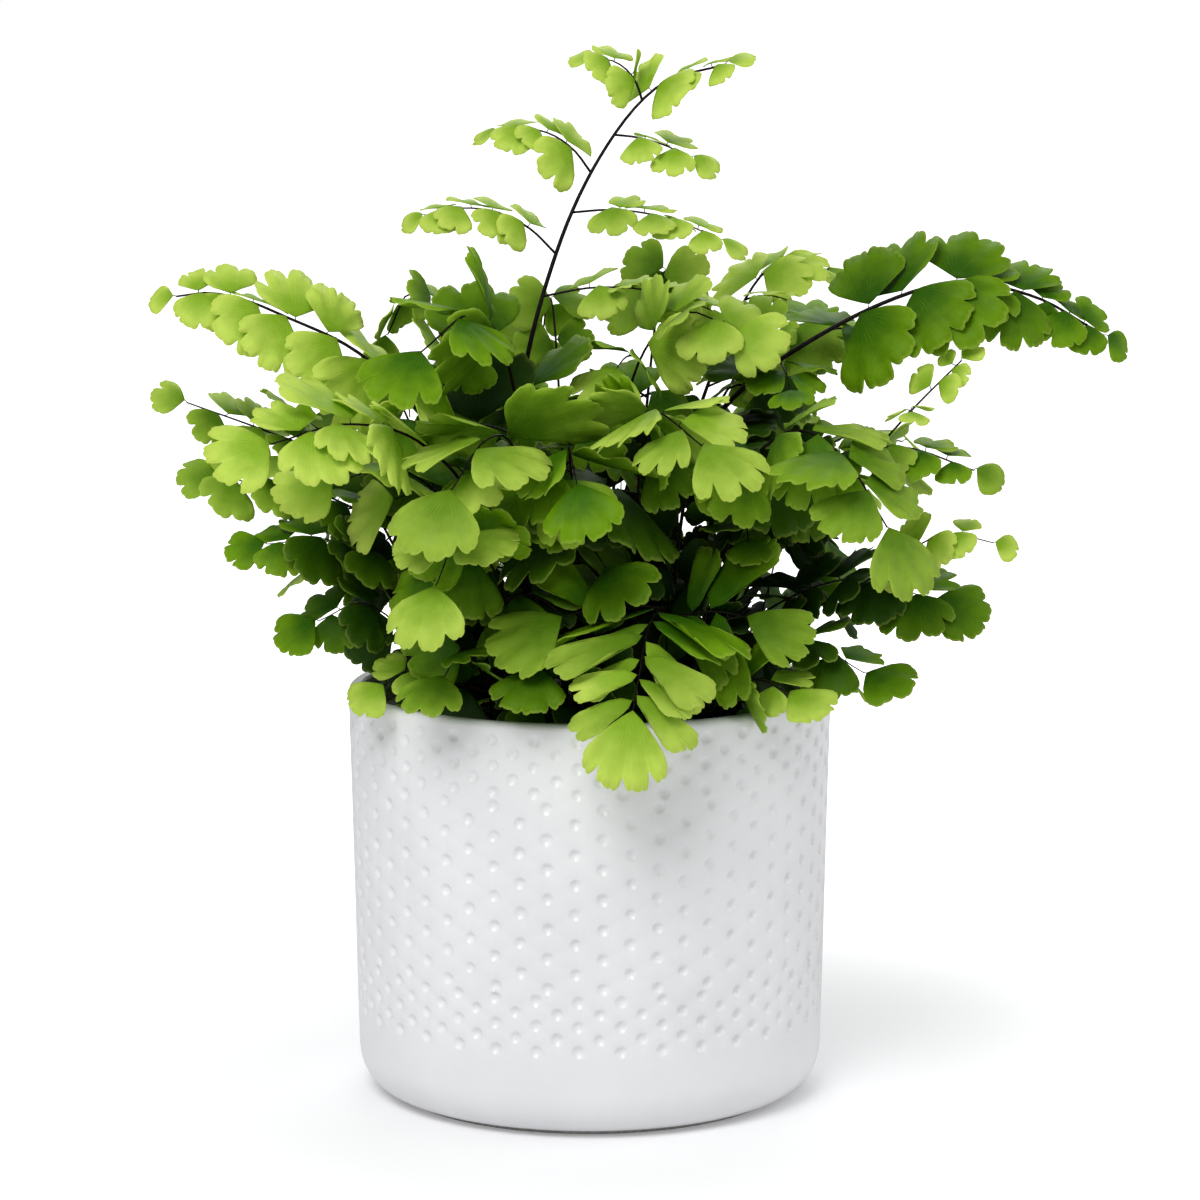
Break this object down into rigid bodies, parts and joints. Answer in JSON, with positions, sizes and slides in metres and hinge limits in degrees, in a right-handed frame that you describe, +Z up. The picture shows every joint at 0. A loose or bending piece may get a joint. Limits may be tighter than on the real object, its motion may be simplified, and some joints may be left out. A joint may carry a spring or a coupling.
{
  "type": "potted fern",
  "caption": "Maidenhair fern with fan-shaped leaflets on black wiry fronds, growing from soil in a round white glazed ceramic pot with a dimpled wall.",
  "frame": {"origin": "centre of the underside of the pot's foot", "axes": "+Z up along the pot's axis, -Y towards the side the plant is looked at from, +X to its right"},
  "size_m": [0.2587, 0.1953, 0.2785],
  "materials": {
    "pot": "satin",
    "soil": "matte",
    "leaf_young": "satin",
    "leaf": "satin",
    "leaf_dark": "satin"
  },
  "bodies": {
    "root": {"frond_back_inner_1": "leaf", "frond_back_inner_2": "leaf", "frond_back_inner_3": "leaf", "frond_back_inner_4": "leaf", "frond_back_outer_1": "leaf", "frond_back_outer_2": "leaf", "frond_back_outer_3": "leaf", "frond_back_outer_4": "leaf", "frond_back_outer_5": "leaf", "frond_back_outer_6": "leaf", "frond_back_right": "leaf_young", "frond_centre_bright": "leaf_young", "frond_crown": "leaf_dark", "frond_far_left": "leaf", "frond_front_left": "leaf_young", "frond_front_lower": "leaf_young", "frond_front_middle": "leaf_young", "frond_front_skirt_left": "leaf", "frond_front_skirt_middle": "leaf_dark", "frond_inner_left": "leaf_dark", "frond_inner_middle": "leaf_dark", "frond_inner_right": "leaf_dark", "frond_left_bright": "leaf_young", "frond_left_low": "leaf", "frond_left_middle": "leaf_dark", "frond_left_shoulder": "leaf", "frond_left_skirt": "leaf_dark", "frond_low_1": "leaf", "frond_low_2": "leaf", "frond_low_3": "leaf", "frond_low_4": "leaf", "frond_middle": "leaf", "frond_middle_right": "leaf", "frond_over_rim": "leaf_young", "frond_right_arch": "leaf_dark", "frond_right_fan": "leaf_young", "frond_right_low": "leaf_dark", "frond_right_rim": "leaf_dark", "frond_right_shoulder": "leaf", "frond_rim_sprig_left": "leaf_young", "frond_rim_sprig_right": "leaf_young", "frond_tall": "leaf", "frond_upper_left": "leaf_young", "frond_young_lower": "leaf_young", "frond_young_upper": "leaf_young", "pot": "pot", "soil": "soil"}
  },
  "joints": []
}
